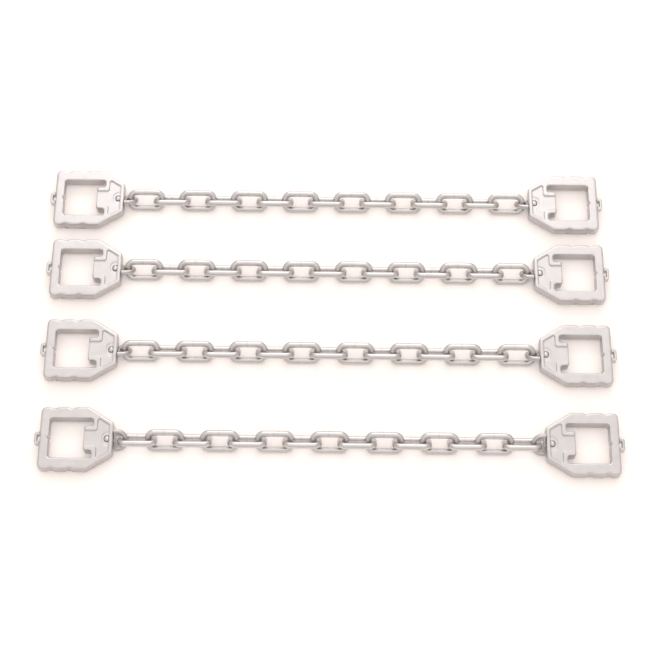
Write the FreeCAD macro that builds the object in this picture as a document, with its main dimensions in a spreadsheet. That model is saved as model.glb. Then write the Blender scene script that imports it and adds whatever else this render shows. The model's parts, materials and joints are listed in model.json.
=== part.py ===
"""Tire snow chains: a set of four cross chains, laid out flat side by side.

Each chain is fifteen wire links between two swivel eyes, and each eye turns in the wall of a cast end
frame that a strap threads through. X runs along the chains, Y across them and Z up. The origin is on
the floor under the middle of the set. All sizes are millimetres.
"""
import FreeCAD, Part
import math
import os
import re

import Sketcher

Vector = FreeCAD.Vector
doc = FreeCAD.newDocument("TireSnowChains")

# ---------------------------------------------------------------- driving dimensions
SIZES = {
    # chain links, bent from D-section wire with its flat face outward
    "link_wire": 5.8,  # across the D, and twice the depth of its round side
    "wire_back": 2.8,  # from the centre line to the flat face
    "wire_edge": 1.1,  # rounding of the flat face's two edges
    "wire_belly": 2.6,  # rounding of the inner side
    "link_pitch": 25.4,
    "link_spread": 16.0,  # between the centre lines of the two side bars
    "crown_flat": 9.0,  # length of the crown between its two corners
    "link_bend": 5.0,  # radius of the wire's centre line in each corner
    "link_play": 0.3,  # gap where two links hook through each other
    "lay_angle": 45.0,  # links lie turned this far to either side of the floor
    # swivel eye
    "eye_rim": 4.4,
    "eye_web": 2.2,
    "slot_end_play": 1.0,  # behind the link's crown
    "slot_side_play": 1.25,
    "slot_corner": 1.5,
    "eye_base": 1.8,
    "base_relief": 0.2,  # the base is this much flatter than the rim on each side
    "eye_gap": 0.4,  # between the eye's base and the frame wall
    "shank_radius": 2.2,
    "shank_play": 0.06,
    "head_radius": 3.4,
    "head_length": 3.4,
    "head_dome": 2.6,
    "head_gap": 0.3,
    # end frame
    "head_block": 19.5,  # from the chain's wall to the strap window
    "side_bar": 11.2,
    "wall_width": 31.0,  # flat of the wall that faces the chain
    "wall_taper": 24.0,  # length of the two slanted shoulders
    "shoulder_round": 4.0,
    "corner_round": 5.0,
    "rim_wall": 4.0,
    "frame_thick": 10.0,
    "edge_round": 2.0,
    "wave_depth": 1.8,
    "wave_run": 4.0,
    "wave_round": 3.5,
    "wave_first": 12.0,
    "wave_second": 29.0,
    "outer_bar": 9.0,
    "window_length": 40.0,
    "window_width": 39.5,
    "window_round": 2.4,
    "window_break": 0.8,
    "tongue_reach": 8.0,
    "corner_slot": 7.7,
    "rib_width": 4.2,
    "rib_round": 2.4,
    "recess_depth": 1.4,
    "recess_round": 1.5,
    "dish_radius": 7.0,
    "dish_depth": 0.5,
    "notch_radius": 1.9,
    # two low runners that the frame stands on
    "runner_width": 5.0,
    "runner_round": 2.4,
    # hook cast on the outer end of the frame
    "hook_width": 11.4,
    "hook_reach": 4.6,
    "hook_bar": 2.3,
    "hook_leg": 2.3,
    "hook_height": 6.0,
    "hook_round": 2.0,
    "hook_flare": 0.8,
    "slit_inset": 1.2,  # the slit behind the hook is cut this far into the outer bar
    # layout of the set on the floor
    "chain_1_across": 128.0,
    "chain_2_across": 50.0,
    "chain_3_across": -37.0,
    "chain_4_across": -128.0,
    "chain_1_shift": -2.8,
    "chain_2_shift": -0.7,
    "chain_3_shift": 1.0,
    "chain_4_shift": 2.8,
}
LINK_COUNT = 15

# Sizes worked out from the ones above.
WORKED_OUT = {
    "eye_spread": "link_spread + link_wire - eye_rim",
    "eye_slot": "link_wire + 2 * slot_side_play",
    "eye_reach": "eye_gap + eye_base + slot_end_play + link_wire + link_play / 2",
    "frame_length": "head_block + window_length + outer_bar",
    "frame_width": "window_width + 2 * side_bar",
    "link_half": "link_pitch / 2 + (link_wire + link_play) / 2",
    "corner_out": "link_spread / 2 + wire_back - wire_edge",
    "corner_side": "link_wire / 2 - wire_edge",
    "axis_height": "corner_out * sin(lay_angle * 1 deg) + corner_side * cos(lay_angle * 1 deg) + wire_edge",
    "bore_radius": "shank_radius + shank_play",
    "frame_under": "axis_height - frame_thick / 2",
    "frame_height": "axis_height + frame_thick / 2",
    "eye_tip": "eye_reach + (link_play + eye_rim) / 2",
    "eye_centre": "eye_tip - eye_spread / 2",
    "head_seat": "rim_wall + eye_gap",
    "neck_half": "window_width / 2 - corner_slot - rib_width",
    "shoulder_drop": "(frame_width - wall_width) / 2 / wall_taper",
    "rim_across": "rim_wall * sqrt(1 + shoulder_drop * shoulder_drop)",
    "recess_far": "head_block - rib_width",
    "recess_floor": "frame_height - recess_depth",
    "wall_middle": "LINK_COUNT * link_pitch / 2 + eye_reach",
}

sheet = doc.addObject("Spreadsheet::Sheet", "Sizes")
for row, (word, value) in enumerate(SIZES.items(), start=1):
    sheet.set(f"A{row}", word)
    sheet.set(f"B{row}", str(value))
    sheet.setAlias(f"B{row}", word)
ALIASES = set(SIZES)
doc.recompute()


def linked(text):
    """The expression with each size's word pointed at its cell in the sheet."""
    def point(word):
        return f"Sizes.{word[0]}" if word[0] in ALIASES else word[0]

    return re.sub(r"[a-z][a-z_0-9]*", point, text.replace("LINK_COUNT", str(LINK_COUNT)))


def size(text):
    """The value of an expression in the sheet's words."""
    return float(sheet.evalExpression(linked(text)))


for row, (word, formula) in enumerate(WORKED_OUT.items(), start=1):
    sheet.set(f"C{row}", word)
    sheet.set(f"D{row}", "=" + linked(formula))
    sheet.setAlias(f"D{row}", word)
    ALIASES.add(word)
    doc.recompute()


# ---------------------------------------------------------------- drawing helpers
def new_body(name):
    return doc.addObject("PartDesign::Body", name)


def new_sketch(body, role, name, lift="0"):
    """A sketch on one of the body's own origin planes, lifted off it along its normal."""
    sketch = body.newObject("Sketcher::SketchObject", name)
    plane = next(item for item in body.Origin.OriginFeatures if item.Role == role)
    sketch.AttachmentSupport = [(plane, "")]
    sketch.MapMode = "FlatFace"
    sketch.setExpression("AttachmentOffset.Base.z", linked(lift))
    return sketch


def hold_point(sketch, item, which, across, up):
    """Hold a point of the sketch at two expressions."""
    for kind, text in (("DistanceX", across), ("DistanceY", up)):
        number = sketch.addConstraint(Sketcher.Constraint(kind, item, which, size(text)))
        sketch.setExpression(f"Constraints[{number}]", linked(text))


def draw_circle(sketch, across, up, radius):
    centre = Vector(size(across), size(up), 0)
    item = sketch.addGeometry(Part.Circle(centre, Vector(0, 0, 1), size(radius)))
    hold_point(sketch, item, 3, across, up)
    number = sketch.addConstraint(Sketcher.Constraint("Radius", item, size(radius)))
    sketch.setExpression(f"Constraints[{number}]", linked(radius))


def draw_outline(sketch, corners):
    """A closed outline of straight lines. A corner is (across, up) or (across, up, radius)."""
    places = [Vector(size(corner[0]), size(corner[1]), 0) for corner in corners]
    count = len(corners)
    arrive = []
    leave = []
    for number, corner in enumerate(corners):
        here = places[number]
        back = (places[number - 1] - here).normalize()
        ahead = (places[(number + 1) % count] - here).normalize()
        trim = size(corner[2]) / math.tan(back.getAngle(ahead) / 2) if len(corner) == 3 else 0
        arrive.append(here + back * trim)
        leave.append(here + ahead * trim)
    lines = [
        sketch.addGeometry(Part.LineSegment(leave[number], arrive[(number + 1) % count]))
        for number in range(count)
    ]
    for number, corner in enumerate(corners):
        into, out_of = lines[number - 1], lines[number]
        if len(corner) == 2:
            sketch.addConstraint(Sketcher.Constraint("Coincident", into, 2, out_of, 1))
            hold_point(sketch, out_of, 1, corner[0], corner[1])
            continue
        here = places[number]
        radius = size(corner[2])
        inward = ((arrive[number] + leave[number]) * 0.5 - here).normalize()
        centre = here + inward * math.hypot(radius, (arrive[number] - here).Length)
        middle = centre - inward * radius
        turns_left = (here - arrive[number]).cross(leave[number] - here).z > 0
        if turns_left:
            arc = sketch.addGeometry(Part.Arc(arrive[number], middle, leave[number]))
        else:
            arc = sketch.addGeometry(Part.Arc(leave[number], middle, arrive[number]))
        sketch.addConstraint(Sketcher.Constraint("Tangent", into, 2, arc, 1 if turns_left else 2))
        sketch.addConstraint(Sketcher.Constraint("Tangent", out_of, 1, arc, 2 if turns_left else 1))
        hold = sketch.addConstraint(Sketcher.Constraint("Radius", arc, radius))
        sketch.setExpression(f"Constraints[{hold}]", linked(corner[2]))
        vertex = sketch.addGeometry(Part.Point(here), True)
        hold_point(sketch, vertex, 1, corner[0], corner[1])
        sketch.addConstraint(Sketcher.Constraint("PointOnObject", vertex, 1, into))
        sketch.addConstraint(Sketcher.Constraint("PointOnObject", vertex, 1, out_of))


def mirrored(half):
    """Both halves of an outline that is the same on each side of the across axis."""
    return half + [(corner[0], f"-({corner[1]})") + tuple(corner[2:]) for corner in reversed(half)]


def pad(body, name, sketch, length, midplane=False, backward=False):
    feature = body.newObject("PartDesign::Pad", name)
    feature.Profile = sketch
    feature.setExpression("Length", linked(length))
    feature.Midplane = midplane
    feature.Reversed = backward
    doc.recompute()
    return feature


def pocket(body, name, sketch, depth, backward=False):
    """Cut the sketch's outline out of the body, and make sure that it did cut."""
    before = body.Shape.Volume
    feature = body.newObject("PartDesign::Pocket", name)
    feature.Profile = sketch
    feature.setExpression("Length", linked(depth))
    feature.Reversed = backward
    doc.recompute()
    if body.Shape.Volume >= before:
        raise RuntimeError(f"{name} cut nothing")
    return feature


def revolve(body, name, sketch, axis, angle, backward=False):
    feature = body.newObject("PartDesign::Revolution", name)
    feature.Profile = sketch
    feature.ReferenceAxis = (sketch, [axis])
    feature.Angle = angle
    feature.Reversed = backward
    doc.recompute()
    return feature


def edges_at(body, inside):
    """Names of the body's edges whose every vertex passes the test."""
    return [
        f"Edge{number}"
        for number, edge in enumerate(body.Shape.Edges, start=1)
        if all(inside(vertex.Point) for vertex in edge.Vertexes)
    ]


# ---------------------------------------------------------------- chain link
def make_link():
    """D-section wire bent to a long eight-sided ring and welded shut. It lies in XY along X."""
    body = new_body("link_master")
    path = new_sketch(body, "XY_Plane", "link_path")
    half = [
        ("link_half", "crown_flat / 2", "link_bend"),
        ("link_half - link_spread / 2 + crown_flat / 2", "link_spread / 2", "link_bend"),
        ("0", "link_spread / 2"),
        ("link_spread / 2 - crown_flat / 2 - link_half", "link_spread / 2", "link_bend"),
        ("-link_half", "crown_flat / 2", "link_bend"),
    ]
    draw_outline(path, [corner for corner in mirrored(half) if corner[:2] != ("0", "-(link_spread / 2)")])
    section = new_sketch(body, "YZ_Plane", "link_section")
    draw_outline(section, [
        ("link_spread / 2 - link_wire / 2", "link_wire / 2", "wire_belly"),
        ("link_spread / 2 - link_wire / 2", "-link_wire / 2", "wire_belly"),
        ("link_spread / 2 + wire_back", "-link_wire / 2", "wire_edge"),
        ("link_spread / 2 + wire_back", "link_wire / 2", "wire_edge"),
    ])
    doc.recompute()
    wire = body.newObject("PartDesign::AdditivePipe", "link_wire_bent")
    wire.Profile = section
    wire.Spine = (path, [])
    doc.recompute()
    return body


# ---------------------------------------------------------------- swivel eye
def make_eye():
    """D-shaped eye with a round rim, a thin web, and a headed shank that turns in the frame wall.

    It lies in XY. The wall's outer face is at x = 0 and the chain is towards +X.
    """
    body = new_body("eye_master")
    plate = new_sketch(body, "XY_Plane", "eye_web_outline")
    draw_outline(plate, mirrored([
        ("eye_gap", "eye_spread / 2"),
        ("eye_tip", "eye_spread / 2", "eye_spread / 2 - eye_rim / 4"),
    ]))
    draw_outline(plate, mirrored([
        ("eye_gap + eye_base / 2", "eye_slot / 2", "slot_corner"),
        ("eye_tip - eye_rim / 4", "eye_slot / 2", "slot_corner"),
    ]))
    pad(body, "eye_web_plate", plate, "eye_web", midplane=True)
    base = new_sketch(body, "XY_Plane", "eye_base_outline")
    draw_outline(base, mirrored([("eye_gap", "eye_spread / 2"), ("eye_gap + eye_base", "eye_spread / 2")]))
    pad(body, "eye_base_bar", base, "eye_rim - 2 * base_relief", midplane=True)
    ring = new_sketch(body, "YZ_Plane", "eye_rim_section", lift="eye_centre")
    draw_circle(ring, "eye_spread / 2", "0", "eye_rim / 2")
    revolve(body, "eye_rim_round", ring, "V_Axis", 180, backward=True)
    legs = new_sketch(body, "YZ_Plane", "eye_leg_sections", lift="eye_centre")
    for side in ("", "-"):
        draw_circle(legs, side + "eye_spread / 2", "0", "eye_rim / 2")
    pad(body, "eye_legs", legs, "eye_centre - eye_gap", backward=True)
    shank = new_sketch(body, "XY_Plane", "shank_profile")
    draw_outline(shank, [
        ("eye_gap + eye_base / 2", "0"),
        ("eye_gap + eye_base / 2", "shank_radius"),
        ("-head_seat", "shank_radius"),
        ("-head_seat", "head_radius"),
        ("-head_seat - head_length", "head_radius", "head_dome"),
        ("-head_seat - head_length", "0"),
    ])
    revolve(body, "shank_and_head", shank, "H_Axis", 360)
    return body


# ---------------------------------------------------------------- end frame
def make_frame():
    """Cast frame with a strap window, a recess for the shank's head and a hook on its outer end.

    The wall that faces the chain is at x = 0, and the frame stands on z = 0 towards -X.
    """
    body = new_body("frame_master")
    outline = new_sketch(body, "XY_Plane", "frame_outline", lift="frame_under")
    half = [("0", "wall_width / 2", "shoulder_round"), ("-wall_taper", "frame_width / 2", "shoulder_round")]
    for valley in ("wave_second", "wave_first"):
        place = f"{valley} - frame_length"
        half.append((f"{place} + wave_run", "frame_width / 2", "wave_round"))
        half.append((place, "frame_width / 2 - wave_depth", "wave_round"))
        half.append((f"{place} - wave_run", "frame_width / 2", "wave_round"))
    half.append(("-frame_length", "frame_width / 2", "corner_round"))
    draw_outline(outline, mirrored(half))
    pad(body, "frame_block", outline, "frame_thick")
    rounded = body.newObject("PartDesign::Fillet", "frame_outer_edges")
    top = size("frame_height")
    under = size("frame_under")
    flat = 1e-6
    bottom_edges = edges_at(body, lambda point: abs(point.z - under) < flat)
    top_edges = edges_at(body, lambda point: abs(point.z - top) < flat)
    rounded.Base = (body.getObject("frame_block"), bottom_edges + top_edges)
    rounded.setExpression("Radius", linked("edge_round"))
    doc.recompute()

    runners = new_sketch(body, "XY_Plane", "runner_outlines")
    for side in ("", "-"):
        ends = [
            ("-wall_taper", f"{side}(window_width + side_bar + runner_width) / 2", "runner_round"),
            ("-wall_taper", f"{side}(window_width + side_bar - runner_width) / 2", "runner_round"),
            ("outer_bar - frame_length", f"{side}(window_width + side_bar - runner_width) / 2", "runner_round"),
            ("outer_bar - frame_length", f"{side}(window_width + side_bar + runner_width) / 2", "runner_round"),
        ]
        draw_outline(runners, ends)
    pad(body, "runners", runners, "frame_under + edge_round")

    window = new_sketch(body, "XY_Plane", "strap_window_outline")
    draw_outline(window, mirrored([
        ("-head_block - tongue_reach", "neck_half + rib_width", "window_round"),
        ("-head_block", "neck_half + rib_width", "window_round"),
        ("-head_block", "window_width / 2", "window_round"),
        ("-head_block - window_length", "window_width / 2", "window_round"),
    ]))
    pocket(body, "strap_window", window, "frame_height", backward=True)
    far_end = size("head_block + window_length + window_break")
    side = size("window_width / 2 + window_break")
    broken = body.newObject("PartDesign::Chamfer", "window_edge_break")
    broken.Base = (body.getObject("strap_window"), edges_at(
        body, lambda point: abs(point.z - top) < flat and abs(point.y) < side and point.x > -far_end
        and point.x < -size("head_block - window_break")))
    broken.setExpression("Size", linked("window_break"))
    doc.recompute()

    recess = new_sketch(body, "XY_Plane", "recess_outline", lift="frame_height")
    draw_outline(recess, mirrored([
        ("-rim_wall", "wall_width / 2 + rim_wall * shoulder_drop - rim_across", "recess_round"),
        ("-recess_far", "wall_width / 2 + recess_far * shoulder_drop - rim_across", "recess_round"),
        ("-recess_far", "neck_half", "rib_round"),
        ("-head_block - tongue_reach - window_round", "neck_half"),
    ]))
    pocket(body, "recess", recess, "recess_depth")

    dish = new_sketch(body, "XY_Plane", "dish_outline", lift="recess_floor")
    draw_outline(dish, mirrored([
        ("-rim_wall", "dish_radius"),
        ("-rim_wall - dish_radius", "dish_radius", "dish_radius - recess_round"),
    ]))
    pocket(body, "dish", dish, "dish_depth")

    chamber = new_sketch(body, "YZ_Plane", "head_chamber_circle", lift="-rim_wall")
    draw_circle(chamber, "0", "axis_height", "head_radius + head_gap")
    pocket(body, "head_chamber", chamber, "eye_gap + head_length + head_gap")

    bore = new_sketch(body, "YZ_Plane", "shank_bore_circle")
    draw_circle(bore, "0", "axis_height", "bore_radius")
    pocket(body, "shank_bore", bore, "rim_wall + eye_gap")

    notch = new_sketch(body, "XY_Plane", "bar_notch_circle")
    draw_circle(notch, "outer_bar - frame_length", "0", "notch_radius")
    pocket(body, "bar_notch", notch, "frame_height", backward=True)

    hook = new_sketch(body, "XY_Plane", "hook_outline", lift="frame_height - edge_round")
    draw_outline(hook, mirrored([
        ("outer_bar / 2 - frame_length", "hook_width / 2 + hook_flare"),
        ("-frame_length", "hook_width / 2 + hook_flare"),
        ("-frame_length - hook_reach / 2", "hook_width / 2"),
        ("-frame_length - hook_reach", "hook_width / 2", "hook_round"),
    ]))
    pad(body, "hook", hook, "hook_height", backward=True)
    slit = new_sketch(body, "XY_Plane", "hook_slit_outline")
    draw_outline(slit, mirrored([
        ("slit_inset - frame_length", "hook_width / 2 - hook_leg"),
        ("hook_bar - frame_length - hook_reach", "hook_width / 2 - hook_leg"),
    ]))
    pocket(body, "hook_slit", slit, "frame_height", backward=True)
    return body


link = make_link()
eye = make_eye()
frame = make_frame()


# ---------------------------------------------------------------- the four chains
def place(name, parts, along="0", across="0", up="0", turn=FreeCAD.Rotation()):
    """One named piece: the given bodies, turned and set down at three expressions."""
    piece = doc.addObject("Part::Compound", name)
    piece.Label = name
    piece.Links = parts
    piece.Placement = FreeCAD.Placement(Vector(size(along), size(across), size(up)), turn)
    for letter, text in zip("xyz", (along, across, up)):
        piece.setExpression(f"Placement.Base.{letter}", linked(text))
    return piece


ABOUT_X = Vector(1, 0, 0)
ABOUT_Z = Vector(0, 0, 1)
LINK_NODES = "01 02 03_04 05 06_07 08 09_10 11 12_13 14 15"  # link numbers, with _ between the two of a pair
nodes = []
for chain in (1, 2, 3, 4):
    prefix = f"chain_{chain}"
    shift = f"{prefix}_shift"
    across = f"{prefix}_across"
    far_side_up = 0 if chain == 4 else 1  # the odd links' far bar is up, on the fourth chain the even ones'

    def lay(number):
        """A link's turn about the chain's axis: each one lies a quarter turn from the one before."""
        sign = 1 if number % 2 == far_side_up else -1
        return FreeCAD.Rotation(ABOUT_X, sign * size("lay_angle"))

    for side, sign, number in (("left", "-", 0), ("right", "", LINK_COUNT + 1)):
        half_turn = FreeCAD.Rotation(ABOUT_Z, 180 if side == "right" else 0)
        wall = f"{shift} + {sign}wall_middle"
        nodes.append(place(f"{prefix}_frame_{side}", [frame], wall, across, "0", half_turn))
        eye_turn = lay(number) * half_turn
        nodes.append(place(f"{prefix}_eye_{side}", [eye], wall, across, "axis_height", eye_turn))

    for numbers in LINK_NODES.split():
        parts = []
        for number in map(int, numbers.split("_")):
            along = f"{shift} + ({number} - (LINK_COUNT + 1) / 2) * link_pitch"
            parts.append(place(f"{prefix}_ring_{number}", [link], along, across, "axis_height", lay(number)))
        word = "links" if "_" in numbers else "link"
        nodes.append(place(f"{prefix}_{word}_{numbers}", parts))
doc.recompute()

# ---------------------------------------------------------------- check and write
for item in doc.Objects:
    if "Invalid" in item.State or "Error" in item.State:
        raise RuntimeError(f"{item.Name} failed: {item.State}")
for node in nodes:
    if node.Shape.isNull() or not node.Shape.isValid():
        raise RuntimeError(f"{node.Label} has no valid shape")
os.makedirs("parts", exist_ok=True)
for node in nodes:
    node.Shape.exportStep(f"parts/{node.Label}.step")
print(f"{len(nodes)} pieces written")
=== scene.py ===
import json
import math

import bpy
from mathutils import Matrix, Vector


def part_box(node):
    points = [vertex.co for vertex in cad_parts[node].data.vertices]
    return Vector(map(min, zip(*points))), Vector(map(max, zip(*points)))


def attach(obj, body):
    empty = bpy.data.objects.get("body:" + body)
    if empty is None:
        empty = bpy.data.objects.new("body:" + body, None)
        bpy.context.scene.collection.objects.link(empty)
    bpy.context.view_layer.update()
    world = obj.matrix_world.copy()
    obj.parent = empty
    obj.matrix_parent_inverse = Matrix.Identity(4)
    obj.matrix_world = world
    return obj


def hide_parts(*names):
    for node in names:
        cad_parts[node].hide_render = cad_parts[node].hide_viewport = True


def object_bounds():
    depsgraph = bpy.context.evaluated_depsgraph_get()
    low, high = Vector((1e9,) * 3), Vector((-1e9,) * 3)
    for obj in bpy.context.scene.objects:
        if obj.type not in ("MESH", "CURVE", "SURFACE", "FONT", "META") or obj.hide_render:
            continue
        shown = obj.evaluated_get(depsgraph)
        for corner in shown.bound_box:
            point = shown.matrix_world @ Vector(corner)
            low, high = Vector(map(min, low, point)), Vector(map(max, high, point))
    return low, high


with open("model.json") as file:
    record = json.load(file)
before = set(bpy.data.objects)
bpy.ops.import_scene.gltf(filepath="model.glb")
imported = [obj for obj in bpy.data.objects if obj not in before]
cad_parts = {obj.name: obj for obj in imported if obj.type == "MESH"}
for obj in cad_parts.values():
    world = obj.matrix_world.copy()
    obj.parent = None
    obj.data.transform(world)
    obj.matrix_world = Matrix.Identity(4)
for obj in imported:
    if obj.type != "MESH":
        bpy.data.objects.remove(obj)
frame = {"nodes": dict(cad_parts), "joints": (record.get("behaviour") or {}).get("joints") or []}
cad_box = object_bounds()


# ------------------------------------------------------------------ table, light and camera
# A sheet of matt white paper rolled out under the chains, in a white room with one wide soft lamp hung
# above and behind them. The camera stands in front and looks down steeply.
def linear(hex_colour):
    """An sRGB hex colour as the linear colour that a shader takes."""
    parts = [int(hex_colour[i:i + 2], 16) / 255 for i in (1, 3, 5)]
    return tuple(p / 12.92 if p <= 0.04045 else ((p + 0.055) / 1.055) ** 2.4 for p in parts) + (1.0,)


def add_node(tree, kind, inputs=None, links=None, **settings):
    """Adds one node: its settings, its input values and the sockets that feed it."""
    node = tree.nodes.new(kind)
    for name, value in settings.items():
        setattr(node, name, value)
    for name, value in (inputs or {}).items():
        node.inputs[name].default_value = value
    for name, socket in (links or {}).items():
        tree.links.new(socket, node.inputs[name])
    return node


def empty_material(name):
    """A node material with nothing in it yet, and its tree."""
    material = bpy.data.materials.new(name)
    material.use_nodes = True
    material.node_tree.nodes.clear()
    return material, material.node_tree


# Matt uncoated white paper. It reads as plain white, and keeps a soft warm shadow under the metal.
white_paper, sheet = empty_material("white_paper")
path = add_node(sheet, "ShaderNodeLightPath")
mirrored = add_node(sheet, "ShaderNodeMath", operation="MAXIMUM",
                    links={0: path.outputs["Is Glossy Ray"], 1: path.outputs["Is Transmission Ray"]})
seen = add_node(sheet, "ShaderNodeMath", operation="MAXIMUM",
                links={0: path.outputs["Is Camera Ray"], 1: mirrored.outputs[0]})
matt = add_node(sheet, "ShaderNodeBsdfDiffuse", {"Color": linear("#f5ede9"), "Roughness": 1.0})
glow = add_node(sheet, "ShaderNodeEmission", {"Color": linear("#ffffff"), "Strength": 0.2})
nothing = add_node(sheet, "ShaderNodeEmission", {"Strength": 0.0})
lift = add_node(sheet, "ShaderNodeMixShader",
                links={0: seen.outputs[0], 1: nothing.outputs[0], 2: glow.outputs[0]})
both = add_node(sheet, "ShaderNodeAddShader", links={0: matt.outputs[0], 1: lift.outputs[0]})
add_node(sheet, "ShaderNodeOutputMaterial", links={"Surface": both.outputs[0]})

low, high = cad_box
paper_reach = 20 * (high[0] - low[0])
paper_mesh = bpy.data.meshes.new("paper_sheet")
paper_corners = [(-1, -1), (1, -1), (1, 1), (-1, 1)]
paper_mesh.from_pydata([(x * paper_reach, y * paper_reach, 0) for x, y in paper_corners], [], [(0, 1, 2, 3)])
paper_mesh.materials.append(white_paper)
paper_sheet = bpy.data.objects.new("paper_sheet", paper_mesh)
paper_sheet.location.z = low[2]
bpy.context.scene.collection.objects.link(paper_sheet)

lamp_width = 1.5
lamp_distance = 2.2
lamp_rise = math.radians(36)
soft_lamp = bpy.data.lights.new("soft_lamp", "AREA")
soft_lamp.shape = "SQUARE"
soft_lamp.size = lamp_width
soft_lamp.energy = 17
lamp_stand = bpy.data.objects.new("soft_lamp", soft_lamp)
lamp_stand.location = (0, lamp_distance * math.cos(lamp_rise), lamp_distance * math.sin(lamp_rise))
lamp_stand.rotation_euler = (lamp_rise - math.pi / 2, 0, 0)
bpy.context.scene.collection.objects.link(lamp_stand)

white_room = bpy.data.worlds.new("white_room")
white_room.use_nodes = True
walls = white_room.node_tree
towards = add_node(walls, "ShaderNodeTexCoord").outputs["Generated"]
rise = add_node(walls, "ShaderNodeSeparateXYZ", links={"Vector": towards})
level = add_node(walls, "ShaderNodeMapRange",
                 {"From Min": 0.3, "From Max": 0.95, "To Min": 0.74, "To Max": 1.36},
                 {"Value": rise.outputs["Z"]}, interpolation_type="SMOOTHSTEP")
walls.links.new(level.outputs[0], walls.nodes["Background"].inputs["Strength"])
walls.nodes["Background"].inputs["Color"].default_value = linear("#fffdfb")
bpy.context.scene.world = white_room

look_down = math.radians(64)
camera_roll = math.radians(0.65)
camera_distance = 1.626
aim = Vector((-0.0027, -0.0072, 0.0092))
camera_data = bpy.data.cameras.new("camera")
camera_data.sensor_width = 36
camera_data.lens = 94.2
camera_data.clip_end = 50
camera = bpy.data.objects.new("camera", camera_data)
turn = Matrix.Rotation(math.pi / 2 - look_down, 4, "X") @ Matrix.Rotation(camera_roll, 4, "Z")
back = Vector((0, -math.cos(look_down), math.sin(look_down)))
camera.matrix_world = Matrix.Translation(aim + back * camera_distance) @ turn
bpy.context.scene.collection.objects.link(camera)
bpy.context.scene.camera = camera
bpy.context.scene.view_settings.view_transform = "Standard"


# ------------------------------------------------------------------ end frames
# Zinc die castings, tumbled and left bare. The tumbling rounds the edges and leaves a satin skin, with the
# fine grain of the die under it. The edges are also painted brighter, a painted highlight along them.
MM = 0.001
COLOUR_A, COLOUR_B, MIXED = 6, 7, 2  # a Mix node's colour sockets: two in and one out


def rounded_edges_with_highlight(tree, radius):
    """The rounded normal of edges rounded off to a radius in mm, and how far a point is on one, 0 to 1.

    The second is the mask for a painted highlight on the edges. It starts where the two normals are 6
    degrees apart, and is full at 28 degrees.
    """
    rounded = add_node(tree, "ShaderNodeBevel", {"Radius": radius * MM}, samples=4)
    flat = add_node(tree, "ShaderNodeNewGeometry")
    likeness = add_node(tree, "ShaderNodeVectorMath", operation="DOT_PRODUCT",
                        links={0: rounded.outputs[0], 1: flat.outputs["Normal"]})
    edge_highlight_mask = add_node(tree, "ShaderNodeMapRange", {"From Min": 0.995, "From Max": 0.88},
                    {"Value": likeness.outputs["Value"]})
    return rounded.outputs[0], edge_highlight_mask.outputs[0]


def bare_metal(tree, colour, roughness, normal):
    """Closes a material as uncoated metal with the default IOR."""
    metal = add_node(tree, "ShaderNodeBsdfPrincipled", {"Metallic": 1.0},
                     {"Base Color": colour, "Roughness": roughness, "Normal": normal})
    add_node(tree, "ShaderNodeOutputMaterial", links={"Surface": metal.outputs[0]})


# Tumbled zinc: a soft grey with faint clouds 9 mm across, a painted highlight on the edges and a grain of
# 1.1 mm.
# The real grain is about a quarter of that, too fine to show.
cast_zinc, casting = empty_material("tumbled_cast_zinc")
place = add_node(casting, "ShaderNodeTexCoord").outputs["Object"]
rounded, edge_highlight_mask = rounded_edges_with_highlight(casting, 1.8)
clouds = add_node(casting, "ShaderNodeTexNoise", {"Scale": 1 / (9 * MM), "Detail": 3, "Roughness": 0.6},
                  {"Vector": place})
skin = add_node(casting, "ShaderNodeMix", data_type="RGBA", links={0: clouds.outputs["Fac"]},
                inputs={COLOUR_A: linear("#b6b1b0"), COLOUR_B: linear("#cac5c4")})
# Painted highlight: the edges are painted a brighter grey, where light would catch them.
highlighted_edge = add_node(casting, "ShaderNodeMix", data_type="RGBA", inputs={COLOUR_B: linear("#dcd8d7")},
                 links={0: edge_highlight_mask, COLOUR_A: skin.outputs[MIXED]})
grain = add_node(casting, "ShaderNodeTexNoise",
                 {"Scale": 1 / (1.1 * MM), "Detail": 3, "Roughness": 0.65}, {"Vector": place})
satin = add_node(casting, "ShaderNodeMapRange", {"To Min": 0.33, "To Max": 0.43},
                 {"Value": clouds.outputs["Fac"]})
pitted = add_node(casting, "ShaderNodeBump", {"Strength": 0.6, "Distance": 0.08 * MM},
                  {"Height": grain.outputs["Fac"], "Normal": rounded})
bare_metal(casting, highlighted_edge.outputs[MIXED], satin.outputs[0], pitted.outputs[0])


def low_dome(name, centre, half_sizes):
    """A closed dome with a flat base: half an egg of these half sizes, standing on its centre."""
    around, up = 24, 7
    points, faces = [], []
    for ring in range(up):
        lift = math.pi / 2 * ring / up
        for number in range(around):
            angle = 2 * math.pi * number / around
            points.append((centre.x + half_sizes[0] * math.cos(lift) * math.cos(angle),
                           centre.y + half_sizes[1] * math.cos(lift) * math.sin(angle),
                           centre.z + half_sizes[2] * math.sin(lift)))
    points.append((centre.x, centre.y, centre.z + half_sizes[2]))
    for number in range(around):
        on = (number + 1) % around
        faces += [(ring * around + number, ring * around + on, (ring + 1) * around + on,
                   (ring + 1) * around + number) for ring in range(up - 1)]
        faces.append(((up - 1) * around + number, (up - 1) * around + on, up * around))
    faces.append(tuple(reversed(range(around))))
    mesh = bpy.data.meshes.new(name)
    mesh.from_pydata(points, [], faces)
    mesh.polygons.foreach_set("use_smooth", [True] * (len(faces) - 1) + [False])
    return mesh


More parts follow.
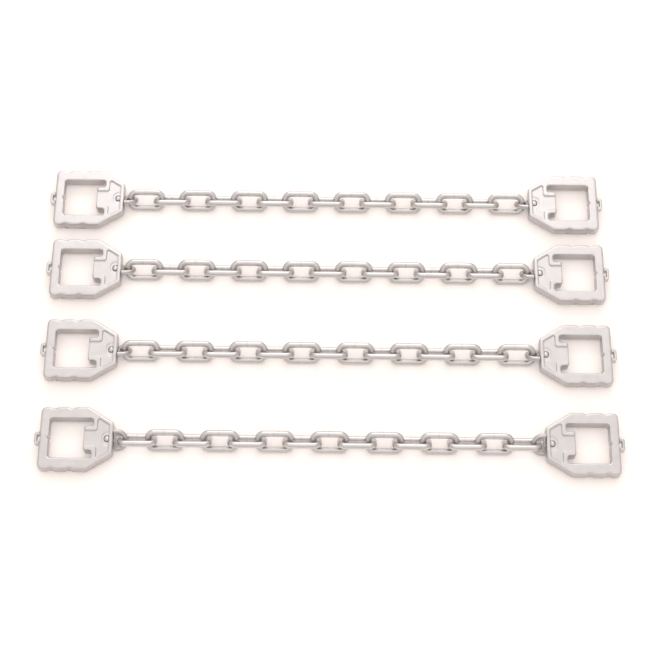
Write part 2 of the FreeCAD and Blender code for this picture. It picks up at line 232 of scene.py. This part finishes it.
# Each frame also has a low boss on the wall of its recess, over the head of the shank. It covers the
# place where the head's chamber breaks through the recess floor, and stands 0.4 mm above that floor.
BOSS = (3.0 * MM, 3.2 * MM, 0.35 * MM)  # half its length and width, and its height
HEAD_LENGTH = 3.4 * MM
HEAD_RADIUS = 3.4 * MM
BOSS_CLEARANCE = 0.12 * MM
swivels = {joint["name"]: Vector(joint["pos_m"]) for joint in frame["joints"]
           if "swivel" in joint["name"]}
for chain in (1, 2, 3, 4):
    for end in ("left", "right"):
        name = f"chain_{chain}_frame_{end}"
        frame["nodes"][name].data.materials[0] = cast_zinc
        eye_low, eye_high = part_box(f"chain_{chain}_eye_{end}")
        head_middle = eye_low.x + HEAD_LENGTH / 2 if end == "left" else eye_high.x - HEAD_LENGTH / 2
        axis = swivels[f"{name}_swivel"]
        over_head = Vector((head_middle, axis.y, axis.z + HEAD_RADIUS + BOSS_CLEARANCE))
        boss = bpy.data.objects.new(f"{name}_boss", low_dome(f"{name}_boss", over_head, BOSS))
        boss.data.materials.append(cast_zinc)
        bpy.context.scene.collection.objects.link(boss)
        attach(boss, name)


# ------------------------------------------------------------------ swivel eyes
# Steel castings with a round rim and a thin web, each with a headed shank that turns in its frame's
# wall. They are barrel plated with zinc, smoother and a shade darker than the frames.

# Plated zinc: a grey satin skin with faint clouds 6 mm across and a painted highlight on the edges. Its
# grain of
# 0.9 mm is coarser than the real one, so that it shows.
plated_casting, plating = empty_material("zinc_plated_casting")
place = add_node(plating, "ShaderNodeTexCoord").outputs["Object"]
rounded, edge_highlight_mask = rounded_edges_with_highlight(plating, 0.6)
clouds = add_node(plating, "ShaderNodeTexNoise", {"Scale": 1 / (6 * MM), "Detail": 3}, {"Vector": place})
skin = add_node(plating, "ShaderNodeMix", data_type="RGBA", links={0: clouds.outputs["Fac"]},
                inputs={COLOUR_A: linear("#b2acab"), COLOUR_B: linear("#c4bebc")})
# Painted highlight: the edges are painted a brighter grey, where light would catch them.
highlighted_edge = add_node(plating, "ShaderNodeMix", data_type="RGBA", inputs={COLOUR_B: linear("#d8d3d1")},
                 links={0: edge_highlight_mask, COLOUR_A: skin.outputs[MIXED]})
grain = add_node(plating, "ShaderNodeTexNoise", {"Scale": 1 / (0.9 * MM), "Detail": 2},
                 {"Vector": place})
satin = add_node(plating, "ShaderNodeMapRange", {"To Min": 0.32, "To Max": 0.44},
                 {"Value": clouds.outputs["Fac"]})
pitted = add_node(plating, "ShaderNodeBump", {"Strength": 0.5, "Distance": 0.05 * MM},
                  {"Height": grain.outputs["Fac"], "Normal": rounded})
bare_metal(plating, highlighted_edge.outputs[MIXED], satin.outputs[0], pitted.outputs[0])

for chain in (1, 2, 3, 4):
    for end in ("left", "right"):
        frame["nodes"][f"chain_{chain}_eye_{end}"].data.materials[0] = plated_casting


# ------------------------------------------------------------------ chain links
# Drawn steel wire just under 6 mm thick, bent to a long eight-sided ring, butt welded in the middle of
# one side and barrel plated with zinc. The links hook through each other and lean opposite ways in turn.
WIRE_DEPTH = 5.6 * MM  # in the plane of the link
WIRE_ACROSS = 5.8 * MM  # across that plane
WIRE_SQUARENESS = 2.25  # 2 is a round wire and more is squarer
LINK_SPREAD = 16.0 * MM  # between the centre lines of the two side bars
CROWN_FLAT = 9.0 * MM  # length of the crown between its two corners
LINK_BEND = 5.0 * MM  # radius of each corner, at the centre line
WELD_WIDTH = 1.3 * MM
WELD_RISE = 0.02  # share by which the wire swells at its weld
RINGS_BY_WELD = (0, 0.4, 0.8, 1.3, 2.2)  # in weld widths
TURN = math.pi / 4  # at each of the eight corners
LAY = math.radians(45)  # how far a link leans to the table
SIDES_OF_WIRE = 28
STEPS_IN_BEND = 7


def link_rings(length):
    """Where the wire's sections stand: x, y and heading, once round the link from its weld."""
    crown = length / 2 - WIRE_DEPTH / 2
    side = LINK_SPREAD / 2
    corners = [(crown - side + CROWN_FLAT / 2, side), (crown, CROWN_FLAT / 2)]
    corners = [(-x, y) for x, y in corners] + [(-x, -y) for x, y in reversed(corners)] + \
              [(x, -y) for x, y in corners] + [(x, y) for x, y in reversed(corners)]
    to_tangent = LINK_BEND * math.tan(TURN / 2)
    near_weld = [widths * WELD_WIDTH for widths in RINGS_BY_WELD]
    rings = [(-gone, side, math.pi) for gone in near_weld]
    for number, (x, y) in enumerate(corners):
        heading = math.pi + number * TURN
        centre = Vector((x - math.cos(heading) * to_tangent - math.sin(heading) * LINK_BEND,
                         y - math.sin(heading) * to_tangent + math.cos(heading) * LINK_BEND))
        for step in range(STEPS_IN_BEND + 1):
            now = heading + TURN * step / STEPS_IN_BEND
            rings.append((centre.x + math.sin(now) * LINK_BEND,
                          centre.y - math.cos(now) * LINK_BEND, now))
    return rings + [(gone, side, 3 * math.pi) for gone in reversed(near_weld[1:])]


def bent_wire(name, centres, length, leans):
    """One or two links as a mesh, each about its own centre, with the wire's length and girth as UV."""
    rings = link_rings(length)
    points, faces, uvs = [], [], []
    for centre, lean in zip(centres, leans):
        turned = Matrix.Rotation(lean, 3, "X")
        first = len(points)
        gone = [0.0]
        for (x, y, heading), after in zip(rings, rings[1:] + rings[:1]):
            gone.append(gone[-1] + math.hypot(after[0] - x, after[1] - y))
            from_weld = math.hypot(x, y - LINK_SPREAD / 2) / WELD_WIDTH
            swell = 1 + WELD_RISE * math.exp(-from_weld ** 2)
            for number in range(SIDES_OF_WIRE):
                angle = 2 * math.pi * number / SIDES_OF_WIRE
                out, up = (math.copysign(abs(part) ** (2 / WIRE_SQUARENESS), part)
                           for part in (math.cos(angle), math.sin(angle)))
                out *= WIRE_DEPTH / 2 * swell
                up *= WIRE_ACROSS / 2 * swell
                points.append(centre + turned @ Vector((x + math.sin(heading) * out,
                                                        y - math.cos(heading) * out, up)))
        for ring in range(len(rings)):
            beyond = (ring + 1) % len(rings)
            for number in range(SIDES_OF_WIRE):
                on = (number + 1) % SIDES_OF_WIRE
                here, there = first + ring * SIDES_OF_WIRE, first + beyond * SIDES_OF_WIRE
                faces.append([here + number, there + number, there + on, here + on])
                girth = [math.pi * WIRE_ACROSS * step / SIDES_OF_WIRE for step in (number, number + 1)]
                uvs += [(gone[ring], girth[0]), (gone[ring + 1], girth[0]),
                        (gone[ring + 1], girth[1]), (gone[ring], girth[1])]
    mesh = bpy.data.meshes.new(name)
    mesh.from_pydata(points, [], faces)
    unrolled = mesh.uv_layers.new(name="along_the_wire")
    unrolled.data.foreach_set("uv", [value for uv in uvs for value in uv])
    mesh.polygons.foreach_set("use_smooth", [True] * len(mesh.polygons))
    return mesh


# Zinc on drawn wire: a bright satin skin with faint clouds 7 mm across, and a slightly duller band on one
# side of the weld. The drawing lines run along the wire 0.5 mm apart, coarser than the real ones so that
# they show, and are 50 times as long.
plated_wire, wire = empty_material("zinc_plated_drawn_wire")
coordinates = add_node(wire, "ShaderNodeTexCoord")
clouds = add_node(wire, "ShaderNodeTexNoise", {"Scale": 1 / (7 * MM), "Detail": 3},
                  {"Vector": coordinates.outputs["Object"]})
skin = add_node(wire, "ShaderNodeMix", data_type="RGBA", links={0: clouds.outputs["Fac"]},
                inputs={COLOUR_A: linear("#bfbab9"), COLOUR_B: linear("#d2cecc")})
gone = add_node(wire, "ShaderNodeSeparateXYZ", links={"Vector": coordinates.outputs["UV"]})
weld = add_node(wire, "ShaderNodeMapRange", {"From Min": 2 * WELD_WIDTH, "From Max": 0.7 * WELD_WIDTH},
                {"Value": gone.outputs["X"]})
welded = add_node(wire, "ShaderNodeMix", data_type="RGBA", inputs={COLOUR_B: linear("#c1bcba")},
                  links={0: weld.outputs[0], COLOUR_A: skin.outputs[MIXED]})
along = add_node(wire, "ShaderNodeMapping", {"Scale": (0.02, 1.0, 1.0)},
                 {"Vector": coordinates.outputs["UV"]})
lines = add_node(wire, "ShaderNodeTexNoise", {"Scale": 1 / (0.5 * MM), "Detail": 2},
                 {"Vector": along.outputs[0]})
satin = add_node(wire, "ShaderNodeMapRange", {"To Min": 0.30, "To Max": 0.40},
                 {"Value": lines.outputs["Fac"]})
drawn = add_node(wire, "ShaderNodeBump", {"Strength": 0.4, "Distance": 0.03 * MM},
                 {"Height": lines.outputs["Fac"]})
bare_metal(wire, welded.outputs[MIXED], satin.outputs[0], drawn.outputs[0])

for chain in (1, 2, 3, 4):
    far_side_up = 0 if chain == 4 else 1  # odd links in chains 1 to 3, even ones in chain 4
    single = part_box(f"chain_{chain}_link_08")
    link_length = single[1].x - single[0].x
    for node_name in [name for name in frame["nodes"] if name.startswith(f"chain_{chain}_link")]:
        low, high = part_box(node_name)
        numbers = [int(word) for word in node_name.split("_")[3:]]
        middle = (low + high) / 2
        centres = [Vector((end, middle.y, middle.z)) for end in
                   (low.x + link_length / 2, high.x - link_length / 2)][:len(numbers)]
        leans = [LAY if number % 2 == far_side_up else -LAY for number in numbers]
        piece = bpy.data.objects.new(f"{node_name}_wire",
                                     bent_wire(f"{node_name}_wire", centres, link_length, leans))
        piece.data.materials.append(plated_wire)
        bpy.context.scene.collection.objects.link(piece)
        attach(piece, node_name)
        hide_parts(node_name)
